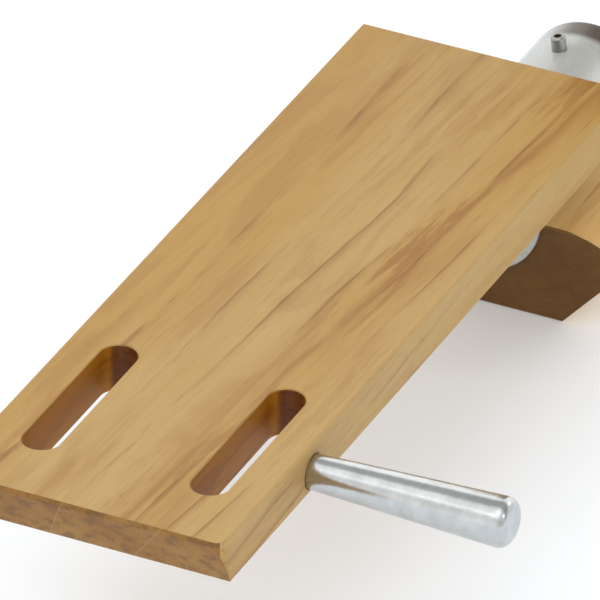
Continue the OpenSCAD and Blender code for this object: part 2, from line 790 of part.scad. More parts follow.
// A moulded disc with scallops between its lobes and a raised hub
module clamp_knob() {
    scallop_r = 10;
    scallop_reach = knob_d / 2 + 5.5;
    rim = 3;
    disc_z = 5;
    disc_h = knob_h - disc_z - 2;
    color("dimgray") on_bolt(knob_x) difference() {
        union() {
            rotate_extrude() polygon(concat([[0, 0], [knob_hub_d/2, 0], [knob_hub_d/2, knob_h - rim]],
                arc(knob_hub_d/2 - rim, knob_h - rim, rim, 0, 90, 6), [[0, knob_h]]));
            translate([0, 0, disc_z]) rotate_extrude() polygon(concat([[0, 0]],
                arc(knob_d/2 - rim, rim, rim, -90, 0, 6),
                arc(knob_d/2 - rim, disc_h - rim, rim, 0, 90, 6), [[0, disc_h]]));
        }
        for (k = [0 : knob_lobes - 1]) rotate([0, 0, 360 / knob_lobes * k]) {
            translate([scallop_reach, 0, disc_z - lip]) cylinder(r = scallop_r, h = disc_h + 2 * lip);
            for (low = [0, 1]) translate([scallop_reach, 0, disc_z + low * disc_h]) mirror([0, 0, low])
                translate([0, 0, -0.01]) cylinder(r1 = scallop_r + 1.5, r2 = scallop_r, h = 1.5);
        }
        translate([0, 0, -lip]) cylinder(d = knob_insert_d, h = knob_h - 4 + lip);
        cylinder(d = bolt_d + 1, h = knob_h + lip);
    }
}

module knob_insert() {
    color("goldenrod") on_bolt(knob_x) ring(knob_insert_d, bolt_d, knob_h - 4);
}

// ---- Spring ----

// A round wire swept along a helix about X, between the jaws
module jaw_spring() {
    rings = ring_steps * spring_turns;
    coil_r = spring_r - spring_wire / 2;
    run = spring_l - spring_wire;
    function at(i, k) = let (a = 360 * i / ring_steps, b = 360 * k / wire_sides,
                             r = coil_r + spring_wire / 2 * cos(b))
        [-run / 2 + run * i / rings + spring_wire / 2 * sin(b), post_y + r * cos(a), bolt_z + r * sin(a)];
    color("gray") polyhedron(
        points = [for (i = [0 : rings], k = [0 : wire_sides - 1]) at(i, k)],
        faces = concat([[for (k = [0 : wire_sides - 1]) k]],
            [for (i = [0 : rings - 1], k = [0 : wire_sides - 1]) let (a = i * wire_sides,
                n = (k + 1) % wire_sides) [a + k, a + wire_sides + k, a + wire_sides + n, a + n]],
            [[for (k = [wire_sides - 1 : -1 : 0]) rings * wire_sides + k]]));
}

base_board();
saddle_block();
foot_block();
saddle_screws();
tube_screws();
foot_bolts();
foot_washers();
weld_nuts();
swivel_tube();
near_bush();
far_bush();
peg_insert();
leg_peg();
tube_lock_screw();
swing_arm();
arm_end_washer();
arm_end_bolt();
thrust_collar();
thrust_grub_screw();
height_collar();
height_grub_screw();
head_base();
jaw_spacer();
head_sleeve();
lock_insert();
fixed_jaw();
fixed_facing();
fixed_jaw_screws();
head_base_screws();
clamp_bolt();
hinge_fixed_leaf();
hinge_pin();
hinge_base_screws();
head_lock_screw();
head_lock_grip();
moving_jaw();
moving_facing();
hinge_moving_leaf();
hinge_jaw_screws();
clamp_washer();
clamp_knob();
knob_insert();
jaw_spring();
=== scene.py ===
"""Leather stitching pony: materials, soft parts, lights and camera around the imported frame. Metres."""

import json
import math

import bpy
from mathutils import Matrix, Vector


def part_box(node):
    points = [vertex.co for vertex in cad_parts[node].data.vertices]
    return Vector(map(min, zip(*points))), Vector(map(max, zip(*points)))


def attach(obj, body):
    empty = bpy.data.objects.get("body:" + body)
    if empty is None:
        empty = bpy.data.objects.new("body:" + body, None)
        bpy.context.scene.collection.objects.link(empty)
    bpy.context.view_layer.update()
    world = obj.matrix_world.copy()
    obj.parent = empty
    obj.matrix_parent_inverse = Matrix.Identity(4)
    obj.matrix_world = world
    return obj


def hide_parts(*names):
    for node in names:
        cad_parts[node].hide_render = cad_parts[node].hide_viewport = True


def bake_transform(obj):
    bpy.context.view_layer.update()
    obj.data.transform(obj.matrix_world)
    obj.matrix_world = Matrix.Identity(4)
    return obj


MM = 0.001

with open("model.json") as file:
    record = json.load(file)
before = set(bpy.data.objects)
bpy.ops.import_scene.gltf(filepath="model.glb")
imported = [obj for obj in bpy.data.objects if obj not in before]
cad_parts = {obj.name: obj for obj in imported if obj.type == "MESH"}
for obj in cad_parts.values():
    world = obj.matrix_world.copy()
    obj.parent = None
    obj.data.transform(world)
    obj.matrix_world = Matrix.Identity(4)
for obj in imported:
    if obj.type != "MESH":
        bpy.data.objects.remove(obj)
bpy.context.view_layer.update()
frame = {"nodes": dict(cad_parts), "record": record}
nodes = frame["nodes"]


# ---- Camera, floor and light ----

CAMERA_AZIMUTH = math.radians(25.97)
CAMERA_ELEVATION = math.radians(32.44)
CAMERA_DISTANCE = 4.646
CAMERA_LENS = 741.7
CAMERA_AIM = Vector((0.0092, -0.2210, 0.1045))
FLOOR_SIZE = 24.0
WORLD_LEVEL = 1.90
LIGHT_DISTANCE = 3.0
LIGHTS = (      # name, azimuth and elevation in degrees, size in metres, power in watts
    ("soft_box", 15, 62, 2.5, 8),
    ("far_right_light", 150, 30, 0.5, 4),
    ("left_bulb", -25, 49, 0.4, 1.2),
    ("right_bulb", 79, 31, 0.4, 3),
)


def away(azimuth, elevation):
    """Unit vector from the object towards a place; azimuth 0 is in front, at -Y, and turns towards +X."""
    flat = math.cos(elevation)
    return Vector((math.sin(azimuth) * flat, -math.cos(azimuth) * flat, math.sin(elevation)))


def make_camera():
    data = bpy.data.cameras.new("camera")
    data.lens = CAMERA_LENS
    data.clip_end = 60.0
    camera = bpy.data.objects.new("camera", data)
    bpy.context.scene.collection.objects.link(camera)
    direction = away(CAMERA_AZIMUTH, CAMERA_ELEVATION)
    camera.location = CAMERA_AIM + direction * CAMERA_DISTANCE
    camera.rotation_euler = (-direction).to_track_quat("-Z", "Y").to_euler()
    bpy.context.scene.camera = camera


def make_floor():
    """White paper on a table that is also faintly lit from below."""
    half = FLOOR_SIZE / 2
    mesh = bpy.data.meshes.new("floor")
    corners = [(-half, -half, 0), (half, -half, 0), (half, half, 0), (-half, half, 0)]
    mesh.from_pydata(corners, [], [(0, 1, 2, 3)])
    floor = bpy.data.objects.new("floor", mesh)
    bpy.context.scene.collection.objects.link(floor)
    paper = bpy.data.materials.new("floor_paper")
    paper.use_nodes = True
    shader = paper.node_tree.nodes["Principled BSDF"]
    shader.inputs["Base Color"].default_value = (0.915, 0.955, 0.995, 1)
    shader.inputs["Roughness"].default_value = 0.9
    shader.inputs["Specular IOR Level"].default_value = 0.1
    shader.inputs["Emission Color"].default_value = (0.93, 1.0, 1.10, 1)
    shader.inputs["Emission Strength"].default_value = 0.10
    mesh.materials.append(paper)


def area_light(name, azimuth, elevation, size, power):
    """A white disk that faces the aimed point from LIGHT_DISTANCE."""
    data = bpy.data.lights.new(name, "AREA")
    data.shape = "DISK"
    data.size = size
    data.energy = power
    light = bpy.data.objects.new(name, data)
    bpy.context.scene.collection.objects.link(light)
    direction = away(math.radians(azimuth), math.radians(elevation))
    light.location = CAMERA_AIM + direction * LIGHT_DISTANCE
    light.rotation_euler = (-direction).to_track_quat("-Z", "Y").to_euler()


def make_world():
    """A white studio, dimmer to the right and with a dark strip of ceiling just behind the part's zenith.
    The camera itself sees pure white."""
    world = bpy.data.worlds.new("studio")
    bpy.context.scene.world = world
    world.use_nodes = True
    g = Graph(world.node_tree)
    background = world.node_tree.nodes["Background"]
    x, y, z = g.split(g.node("ShaderNodeTexCoord").outputs["Generated"])
    towards_front = g.math("ARCTAN2", g.mul(y, -1.0), z)
    turn = g.add(g.mul(towards_front, 0.5 / math.pi), 0.5)
    band = g.ramp(turn, [(0.25, 0.85), (0.372, 0.95), (0.40, 0.34), (0.485, 0.36), (0.515, 0.80),
                         (0.61, 0.85), (0.645, 0.62), (0.75, 0.75)])
    side = g.ramp(g.add(g.mul(x, 0.5), 0.5), [(0.0, 1.00), (0.5, 0.87), (0.9, 0.60)])
    level = g.mul(g.mul(band, side), WORLD_LEVEL)
    camera_sees = g.node("ShaderNodeLightPath").outputs["Is Camera Ray"]
    g.link(g.mix_value(camera_sees, level, 1.0), background.inputs["Strength"])
    background.inputs["Color"].default_value = (1, 1, 1, 1)


# ---- Node graph helpers ----


class Graph:
    """Short names for the shader nodes that the materials below are made of."""

    def __init__(self, tree):
        self.tree = tree

    def node(self, kind, **settings):
        made = self.tree.nodes.new(kind)
        for key, value in settings.items():
            setattr(made, key, value)
        return made

    def link(self, source, target):
        if hasattr(source, "is_linked"):
            self.tree.links.new(source, target)
        elif hasattr(target.default_value, "__len__") and not hasattr(source, "__len__"):
            target.default_value = [source] * len(target.default_value)
        else:
            target.default_value = source

    def math(self, operation, *values):
        made = self.node("ShaderNodeMath", operation=operation)
        for slot, value in zip(made.inputs, values):
            self.link(value, slot)
        return made.outputs[0]

    def add(self, a, b):
        return self.math("ADD", a, b)

    def sub(self, a, b):
        return self.math("SUBTRACT", a, b)

    def mul(self, a, b):
        return self.math("MULTIPLY", a, b)

    def split(self, vector):
        made = self.node("ShaderNodeSeparateXYZ")
        self.link(vector, made.inputs[0])
        return made.outputs

    def join(self, x, y, z):
        made = self.node("ShaderNodeCombineXYZ")
        for slot, value in zip(made.inputs, (x, y, z)):
            self.link(value, slot)
        return made.outputs[0]

    def noise(self, vector, scale=1.0, detail=2.0, roughness=0.5, distortion=0.0):
        made = self.node("ShaderNodeTexNoise")
        self.link(vector, made.inputs["Vector"])
        made.inputs["Scale"].default_value = scale
        made.inputs["Detail"].default_value = detail
        made.inputs["Roughness"].default_value = roughness
        made.inputs["Distortion"].default_value = distortion
        return made.outputs["Fac"]

    def voronoi(self, vector, scale, feature="F1"):
        made = self.node("ShaderNodeTexVoronoi", feature=feature)
        self.link(vector, made.inputs["Vector"])
        made.inputs["Scale"].default_value = scale
        return made.outputs["Distance"]

    def ramp(self, factor, stops):
        """Maps a factor to a grey value through (position, value) stops."""
        made = self.node("ShaderNodeValToRGB")
        made.color_ramp.interpolation = "EASE"
        elements = made.color_ramp.elements
        while len(elements) < len(stops):
            elements.new(1.0)
        for element, (position, value) in zip(elements, stops):
            element.position = position
            element.color = (value, value, value, 1)
        self.link(factor, made.inputs["Fac"])
        return made.outputs["Color"]

    def mix(self, factor, a, b, blend="MIX"):
        made = self.node("ShaderNodeMix", data_type="RGBA", blend_type=blend)
        self.link(factor, made.inputs["Factor"])
        for name, value in (("A", a), ("B", b)):
            slot = [s for s in made.inputs if s.name == name and s.type == "RGBA"][0]
            self.link(value if hasattr(value, "is_linked") else (*value, 1), slot)
        return [s for s in made.outputs if s.type == "RGBA"][0]

    def mix_value(self, factor, a, b):
        made = self.node("ShaderNodeMix", data_type="FLOAT")
        self.link(factor, made.inputs["Factor"])
        self.link(a, made.inputs["A"])
        self.link(b, made.inputs["B"])
        return made.outputs["Result"]


class Surface(Graph):
    """A material with one Principled shader, and object coordinates that stay with the piece as it moves."""

    def __init__(self, name, **settings):
        self.material = bpy.data.materials.new(name)
        self.material.use_nodes = True
        super().__init__(self.material.node_tree)
        self.shader = self.tree.nodes["Principled BSDF"]
        coordinates = self.node("ShaderNodeTexCoord")
        self.position = coordinates.outputs["Object"]
        self.normal = coordinates.outputs["Normal"]
        for key, value in settings.items():
            self.set(key.replace("_", " ").title(), value)

    def set(self, socket, value):
        self.link(value, self.shader.inputs[socket])

    def within(self, place, low, high):
        """1 inside the box from low to high, and 0 outside it."""
        inside = 1.0
        for value, least, most in zip(place, low, high):
            above = self.math("GREATER_THAN", value, least)
            inside = self.mul(self.mul(above, self.math("LESS_THAN", value, most)), inside)
        return inside

    def bump(self, height, distance, strength, rounding):
        """Height is 0 to 1 over a real distance in metres; rounding softens the edges between faces."""
        made = self.node("ShaderNodeBump")
        self.link(height, made.inputs["Height"])
        made.inputs["Distance"].default_value = distance
        made.inputs["Strength"].default_value = strength
        bevel = self.node("ShaderNodeBevel", samples=4)
        bevel.inputs["Radius"].default_value = rounding
        self.link(bevel.outputs["Normal"], made.inputs["Normal"])
        self.set("Normal", made.outputs["Normal"])


# ---- Materials ----


OAK_LIGHT = (0.490, 0.314, 0.108)
OAK_YELLOW = (0.464, 0.275, 0.070)
OAK_LINE = (0.235, 0.098, 0.018)
OAK_STREAK = (0.335, 0.160, 0.036)
OAK_END = (0.245, 0.103, 0.011)
OAK_RAY = (0.360, 0.215, 0.085)
PORE = (0.100, 0.045, 0.014)
# Slot wall multipliers: partly scorched, oiled wood, partly painted shade of the recess and painted warm
# bounce light.
SLOT_SCORCH_AND_SHADE = (0.80, 0.52, 0.03)
SLOT_END_SCORCH_AND_SHADE = (0.48, 0.26, 0.02)
TUBE_LIGHT = (0.510, 0.525, 0.500)
TUBE_DARK = (0.480, 0.493, 0.468)
# The tube's far rim colour is a painted dark reflection.
TUBE_RIM_REFLECTION = (0.12, 0.10, 0.08)
RING_SPACING = 7.5 * MM
RAYS_PER_RADIAN = 6.3
BELL = 0.37                # about 1/e: raised to a square it makes a bell curve
STREAK_BAND = 10 * MM      # half-width of the band of dark flecks in a board
STREAK_CORE = 1.6 * MM     # half-width of the one long dark streak inside it
STREAK_OFFSET = 5 * MM     # from the middle of the band to the long streak
STREAK_DRIFT = 0.035       # sideways per length
SLOT_END = 9 * MM          # the rounded slot ends beyond each opening's box
SLOT_MARGIN = 1.5 * MM
MOULD_GRAIN = 0.5 * MM
TUBE_RIM_REFLECTION_BAND = 18 * MM
OAK_EDGE = 0.8 * MM        # the radius at which shading rounds each material's edges
METAL_EDGE = 0.25 * MM
PLASTIC_EDGE = 0.5 * MM
LEATHER_EDGE = 0.4 * MM


def oak(name, grain="Y", pith=(-0.10, -0.075), skew=0.0, start=0.0, streak_at=0.021, painted_light_tint=(1, 1, 1),
        painted_end_shade=(1, 1, 1), shift=0.0, blotches=0.42, rays=0.45, raggedness=0.0, routed=()):
    """Solid oak: growth rings round a distant pith, seen as lines along the grain and as arcs on the ends.
    A band of dark flecks with one long streak runs at streak_at, and raggedness tears the ends' arrises.
    Inside the routed boxes the walls are darker and more orange: partly scorched, oiled wood, partly painted
    shade of the recess and painted warm light bounced between the walls."""
    s = Surface(name, roughness=0.5)
    x, y, z = s.split(s.position)
    across, along, deep = (x, y, z) if grain == "Y" else (x, z, y)
    from_start = s.sub(along, start)
    across = s.sub(across, s.mul(from_start, skew))
    along = s.add(along, shift)

    def stretched(per_metre_across, per_metre_along):
        return s.join(s.mul(across, per_metre_across), s.mul(along, per_metre_along),
                      s.mul(deep, per_metre_across))

    slow = s.mul(s.sub(s.noise(stretched(9, 3.0), detail=2), 0.5), 0.009)
    quick = s.mul(s.sub(s.noise(stretched(90, 12), detail=3), 0.5), 0.0032)
    pith_across = s.sub(across, pith[0])
    pith_deep = s.sub(deep, pith[1])
    distance = s.math("SQRT", s.add(s.mul(pith_across, pith_across), s.mul(pith_deep, pith_deep)))
    ring = s.math("FRACT", s.mul(s.add(s.add(distance, slow), quick), 1 / RING_SPACING))
    ring_line = s.ramp(ring, [(0.0, 1.0), (0.05, 0.95), (0.10, 0.35), (0.30, 0.06), (0.97, 0.0), (1.0, 1.0)])
    strength = s.ramp(s.noise(stretched(40, 12), detail=3), [(0.46, 0.05), (0.62, 0.9)])

    broad = s.noise(stretched(26, 3.6), detail=3, roughness=0.55, distortion=0.3)
    colour = s.mix(s.ramp(broad, [(0.35, 0.0), (0.65, 1.0)]), OAK_LIGHT, OAK_YELLOW)
    cloud = s.noise(stretched(60, 8), detail=4, roughness=0.65, distortion=0.4)
    colour = s.mix(s.mul(s.ramp(cloud, [(0.50, 0.0), (0.62, 1.0)]), 0.30), colour, OAK_STREAK)
    off_band = s.mul(s.sub(across, streak_at), 1 / STREAK_BAND)
    band = s.math("POWER", BELL, s.mul(off_band, off_band))
    flame = s.noise(stretched(190, 14), detail=4, roughness=0.62, distortion=0.3)
    patch = s.ramp(s.noise(stretched(50, 9), detail=2), [(0.46, 0.0), (0.60, 1.0)])
    reach = s.add(s.mul(band, 0.68), s.mul(patch, 0.34))
    colour = s.mix(s.mul(s.ramp(flame, [(0.47, 0.0), (0.60, 1.0)]), reach), colour, OAK_STREAK)
    wander = s.mul(s.sub(s.noise(stretched(10, 16), detail=3), 0.5), 0.008)
    core_at = s.add(s.add(s.mul(from_start, STREAK_DRIFT), streak_at - STREAK_OFFSET), wander)
    off_core = s.mul(s.sub(across, core_at), 1 / STREAK_CORE)
    core = s.math("POWER", BELL, s.mul(off_core, off_core))
    core = s.mul(core, s.ramp(s.noise(stretched(6, 18), detail=2), [(0.38, 0.15), (0.55, 0.8)]))
    colour = s.mix(core, colour, OAK_STREAK)
    line = s.mul(s.mul(ring_line, strength), 0.70)
    colour = s.mix(line, colour, OAK_LINE)

    pore_noise = s.noise(stretched(1500, 60), detail=1)
    pore = s.ramp(pore_noise, [(0.60, 0.0), (0.70, 1.0)])
    pore = s.mul(pore, s.add(s.mul(ring_line, 0.40), 0.10))
    colour = s.mix(pore, colour, OAK_LINE)
    fibre = s.noise(stretched(2600, 30), detail=2)
    colour = s.mix(s.ramp(fibre, [(0.30, 0.12), (0.60, 0.0)]), colour, OAK_LINE)

    facing = s.split(s.normal)["XYZ".index(grain)]
    ragged = s.noise(s.join(s.mul(across, 420), s.mul(along, 60), s.mul(deep, 160)), detail=2)
    endwise = s.math("ABSOLUTE", facing)
    torn = s.add(endwise, s.mul(s.sub(ragged, 0.5), raggedness))
    on_end = s.ramp(torn, [(0.63, 0.0), (0.73, 1.0)])
    inside_routed = [s.within((x, y, z), low, high) for low, high in routed]
    for inside in inside_routed:
        on_end = s.mix_value(inside, on_end, s.ramp(endwise, [(0.55, 0.0), (0.85, 1.0)]))
    dots = s.voronoi(s.join(s.mul(across, 900), s.mul(along, 60), s.mul(deep, 900)), 1.0)
    dot = s.mul(s.ramp(dots, [(0.10, 1.0), (0.34, 0.0)]), s.add(s.mul(ring_line, 0.7), 0.16))
    blotch = s.noise(s.join(s.mul(across, 170), s.mul(along, 40), s.mul(deep, 230)), detail=4, roughness=0.65)
    angle = s.math("ARCTAN2", pith_across, pith_deep)
    unsteady = s.mul(s.noise(stretched(60, 20), detail=1), 0.05)
    ray = s.math("FRACT", s.add(s.mul(angle, RAYS_PER_RADIAN), unsteady))
    end_colour = s.mix(s.ramp(broad, [(0.3, 0.0), (0.7, 0.30)]), OAK_END, OAK_LIGHT)
    end_colour = s.mix(s.mul(s.ramp(blotch, [(0.44, 0.0), (0.66, 1.0)]), blotches), end_colour, PORE)
    end_colour = s.mix(s.mul(ring_line, 0.40), end_colour, OAK_LINE)
    ray_line = s.mul(s.ramp(ray, [(0.0, 1.0), (0.012, 1.0), (0.026, 0.0)]), rays)
    end_colour = s.mix(ray_line, end_colour, OAK_RAY)
    end_colour = s.mix(dot, end_colour, PORE)
    # The end-face multiplier is painted shade, used to darken the foot's front under the board.
    end_colour = s.mix(1.0, end_colour, painted_end_shade, "MULTIPLY")
    colour = s.mix(on_end, colour, end_colour)
    for inside in inside_routed:
        # Painted shade and painted warm bounce light on the slot walls, over their scorched, oiled wood.
        walls = s.mul(inside, s.math("LESS_THAN", s.math("ABSOLUTE", s.split(s.normal)[2]), 0.5))
        scorch_and_shade = s.mix(on_end, SLOT_SCORCH_AND_SHADE, SLOT_END_SCORCH_AND_SHADE)
        colour = s.mix(walls, colour, s.mix(1.0, colour, scorch_and_shade, "MULTIPLY"))
    # The whole-colour multiplier is painted light, used to lift the foot's top in the board's shade.
    s.set("Base Color", s.mix(1.0, colour, painted_light_tint, "MULTIPLY"))
    s.set("Roughness", s.add(0.44, s.mul(broad, 0.16)))
    s.set("Specular IOR Level", 0.35)
    height = s.sub(s.add(s.mul(fibre, 0.5), 0.5), s.add(s.mul(pore, 0.6), s.mul(s.mul(dot, on_end), 0.4)))
    s.bump(height, 0.12 * MM, 0.6, OAK_EDGE)
    return s.material


def steel(name, colour, roughness, brush=(40, 900, 40), wear=0.04, scratch=0.03 * MM):
    """Bare or plated steel: fine brush lines, faint cloudy variation and rounded edges."""
    s = Surface(name, metallic=1.0)
    x, y, z = s.split(s.position)
    lines = s.noise(s.join(s.mul(x, brush[0]), s.mul(y, brush[1]), s.mul(z, brush[2])), detail=3)
    cloud = s.noise(s.position, 120, detail=4, roughness=0.6)
    darker = tuple(c * (1 - 4 * wear) for c in colour)
    s.set("Base Color", s.mix(s.ramp(cloud, [(0.35, 0.0), (0.7, 1.0)]), colour, darker))
    s.set("Roughness", s.add(roughness, s.mul(s.sub(s.add(lines, cloud), 1.0), wear * 2)))
    s.bump(lines, scratch, 0.25, METAL_EDGE)
    return s.material


def moulded(name, colour, roughness):
    """Moulded plastic: a fine texture, slight gloss changes and soft edges."""
    s = Surface(name)
    grain = s.noise(s.position, 1 / MOULD_GRAIN, detail=2)
    handled = s.noise(s.position, 60, detail=3)
    lighter = tuple(min(1, c * 1.5 + 0.01) for c in colour)
    s.set("Base Color", s.mix(s.ramp(handled, [(0.4, 0.0), (0.75, 0.5)]), colour, lighter))
    s.set("Roughness", s.add(roughness, s.mul(s.sub(handled, 0.5), 0.25)))
    s.bump(grain, 0.02 * MM, 0.5, PLASTIC_EDGE)
    return s.material


def leather(name, colour, dark):
    """Vegetable-tanned leather: pebbled grain, creases, and rubbed darker patches."""
    s = Surface(name)
    pebble = s.voronoi(s.position, 1100, "SMOOTH_F1")
    crease = s.noise(s.position, 260, detail=4, roughness=0.6, distortion=0.8)
    rubbed = s.noise(s.position, 60, detail=4, roughness=0.6)
    base = s.mix(s.ramp(rubbed, [(0.35, 0.0), (0.70, 1.0)]), colour, dark)
    base = s.mix(s.ramp(pebble, [(0.05, 0.0), (0.60, 0.35)]), base, dark)
    s.set("Base Color", base)
    s.set("Roughness", s.add(0.48, s.mul(rubbed, 0.22)))
    s.bump(s.add(s.mul(pebble, 0.6), s.mul(crease, 0.5)), 0.25 * MM, 0.6, LEATHER_EDGE)
    return s.material


def tube_steel():
    """Satin galvanised tube, with a painted dark reflection on its rounded far rim that fades out towards -X.
    """
    s = Surface("tube_metal", metallic=0.10)
    low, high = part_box("swivel_tube")
    x, y, z = s.split(s.position)
    cloud = s.noise(s.position, 90, detail=4, roughness=0.6)
    lines = s.noise(s.join(s.mul(x, 60), s.mul(y, 1400), s.mul(z, 60)), detail=3)
    colour = s.mix(s.ramp(cloud, [(0.35, 0.0), (0.7, 1.0)]), TUBE_LIGHT, TUBE_DARK)
    # Painted dark reflection along the far rim, fading out towards -X.
    from_rim = s.mul(s.sub(high.y, y), 1 / TUBE_RIM_REFLECTION_BAND)
    across = s.mul(s.sub(x, low.x), 1 / (high.x - low.x))
    rim = s.mul(s.ramp(from_rim, [(0.55, 1.0), (0.80, 0.0)]), s.ramp(across, [(0.12, 0.0), (0.42, 1.0)]))
    s.set("Base Color", s.mix(rim, colour, TUBE_RIM_REFLECTION))
    s.set("Roughness", s.add(0.28, s.mul(s.sub(cloud, 0.5), 0.12)))
    s.set("Specular IOR Level", 0.3)
    s.bump(lines, 0.02 * MM, 0.3, METAL_EDGE)
    return s.material


def opening_boxes(prefix):
    """The record's boxes of the openings whose names start with prefix."""
    openings = frame["record"]["physics"]["openings"]
    return [entry["box_m"] for entry in openings if entry["name"].startswith(prefix)]


def make_materials():
    """One material for each slot of the record, and oak_head for the head's blocks, with grain along Y."""
    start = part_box("base_board")[0].y
    slots = [[[v - SLOT_MARGIN for v in box[0]], [v + SLOT_MARGIN for v in box[1]]]
             for box in opening_boxes("strap_slot")]
    for low, high in slots:
        low[1] -= SLOT_END
        high[1] += SLOT_END
    return {
        "oak_board": oak("oak_board", skew=0.055, start=start, blotches=0.62, raggedness=0.7, routed=slots),
        # oak_foot: lifted by painted light on its top, which lies in the board's shade, and darkened by
        # painted shade on its end faces under the board.
        "oak_foot": oak("oak_foot", pith=(-0.03, 0.16), streak_at=-0.02, painted_light_tint=(1.55, 1.70, 2.30),
                        painted_end_shade=(0.305, 0.255, 0.122), shift=1.7, blotches=0.25, rays=0.0),
        "oak_jaw": oak("oak_jaw", grain="Z", pith=(0.10, 0.30), streak_at=-0.02, shift=0.6),
        "oak_head": oak("oak_head", pith=(0.06, -0.05), streak_at=0.01, shift=0.9),
        "tube_metal": tube_steel(),
        "peg_metal": steel("peg_metal", (0.545, 0.560, 0.560), 0.21, brush=(700, 900, 900),
                           scratch=0.16 * MM),
        "arm_metal": steel("arm_metal", (0.70, 0.70, 0.70), 0.22, wear=0.03),
        "screw_metal": steel("screw_metal", (0.38, 0.37, 0.35), 0.36, wear=0.06),
        "dark_metal": steel("dark_metal", (0.075, 0.075, 0.08), 0.38, wear=0.05),
        "spring_metal": steel("spring_metal", (0.50, 0.50, 0.52), 0.25),
        "brass": steel("brass", (0.72, 0.50, 0.20), 0.28),
        "bush_nylon": moulded("bush_nylon", (0.72, 0.71, 0.66), 0.45),
        "knob_plastic": moulded("knob_plastic", (0.018, 0.018, 0.020), 0.35),
        "jaw_leather": leather("jaw_leather", (0.32, 0.155, 0.062), (0.17, 0.072, 0.027)),
    }


def dress_nodes(made):
    """Gives each CAD node the material of its record slot; the head's blocks have oak of their own."""
    slot_of = {entry["node"]: entry["material_slot"] for entry in frame["record"]["subparts"]}
    for name, piece in nodes.items():
        slot = slot_of.get(name)
        material = made["oak_head"] if name in ("head_base", "jaw_spacer") else made[slot]
        piece.data.materials.clear()
        piece.data.materials.append(material)


# ---- Modelled pieces ----


def new_piece(name, vertices, faces, material):
    mesh = bpy.data.meshes.new(name)
    mesh.from_pydata(vertices, [], faces)
    mesh.polygons.foreach_set("use_smooth", [True] * len(mesh.polygons))
    mesh.materials.append(material)
    mesh.update()
    piece = bpy.data.objects.new(name, mesh)
    bpy.context.scene.collection.objects.link(piece)
    return piece


def grid_faces(rows, columns, close_columns=True):
    """Quads between rows of vertices; each row may close on itself."""
    faces = []
    for i in range(rows - 1):
        for k in range(columns if close_columns else columns - 1):
            n = (k + 1) % columns
            faces.append((i * columns + k, i * columns + n, (i + 1) * columns + n, (i + 1) * columns + k))
    return faces


SPRING_TURNS = 6.0
SPRING_WIRE = 1.2 * MM
SPRING_DEAD = 0.8          # turns at each end that lie close together


def make_spring(material):
    """A compression spring between the jaws, its end turns closed."""
    low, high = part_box("jaw_spring")
    centre = (low + high) / 2
    coil = (high.y - low.y) / 2 - SPRING_WIRE / 2
    run = high.x - low.x - SPRING_WIRE
    steps, sides = 40, 10
    total = int(SPRING_TURNS * steps)
    dead_pitch = SPRING_WIRE * 1.02
    live = (run - 2 * SPRING_DEAD * dead_pitch) / (SPRING_TURNS - 2 * SPRING_DEAD)

    def along(turn):
        first = min(turn, SPRING_DEAD)
        last = max(turn - (SPRING_TURNS - SPRING_DEAD), 0)
        return (first + last) * dead_pitch + (turn - first - last) * live

    vertices = []
    for i in range(total + 1):
        turn = i / steps
        a = 2 * math.pi * turn
        axis = Vector((along(turn) - run / 2, coil * math.cos(a), coil * math.sin(a)))
        out = Vector((0, math.cos(a), math.sin(a)))
        for k in range(sides):
            b = 2 * math.pi * k / sides
            offset = out * math.cos(b) + Vector((1, 0, 0)) * math.sin(b)
            vertices.append(centre + axis + offset * SPRING_WIRE / 2)
    faces = grid_faces(total + 1, sides)
    faces.append(tuple(range(sides - 1, -1, -1)))
    faces.append(tuple(total * sides + k for k in range(sides)))
    piece = new_piece("return_spring", vertices, faces, material)
    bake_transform(piece)
    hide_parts("jaw_spring")


THREAD_PITCH = 1.25 * MM    # M8, on the clamp bolt and on the peg's stud
THREAD_DEPTH = 0.55 * MM
TIP_NARROWING = 0.28


def threaded_rod(radius, depth, pitch, length, tip):
    """Vertices and faces of a threaded rod along +X from the origin, narrowing over its tip."""
    sides, rows_per_pitch = 40, 5
    rows = int(length / pitch * rows_per_pitch)
    vertices = []
    for i in range(rows + 1):
        x = length * i / rows
        shrink = max(0.0, (x - (length - tip)) / tip)
        for k in range(sides):
            a = 2 * math.pi * k / sides
            phase = (x / pitch - k / sides) % 1.0
            groove = depth * (1 - abs(2 * phase - 1))
            r = (radius - groove) * (1 - TIP_NARROWING * shrink ** 2)
            vertices.append(Vector((x, r * math.cos(a), r * math.sin(a))))
    faces = grid_faces(rows + 1, sides)
    faces.append(tuple(range(sides - 1, -1, -1)))
    faces.append(tuple(rows * sides + k for k in range(sides)))
    return vertices, faces


def lathe(profile, sides=64):
    """Vertices and faces of (x, radius) points turned about the X axis; the ends close on the axis."""
    vertices = []
    for x, r in profile:
        for k in range(sides):
            a = 2 * math.pi * k / sides
            vertices.append(Vector((x, r * math.cos(a), r * math.sin(a))))
    faces = grid_faces(len(profile), sides)
    faces.append(tuple(range(sides - 1, -1, -1)))
    faces.append(tuple((len(profile) - 1) * sides + k for k in range(sides)))
    return vertices, faces


def merge(*parts):
    """Joins (vertices, faces) pairs into one pair."""
    vertices, faces = [], []
    for some_vertices, some_faces in parts:
        start = len(vertices)
        vertices += some_vertices
        faces += [tuple(start + index for index in face) for face in some_faces]
    return vertices, faces


CLAMP_RADIUS = 3.95 * MM
CLAMP_HEAD_H = 4.48 * MM
CLAMP_NECK_L = 5 * MM
CLAMP_PLAIN_L = 30 * MM


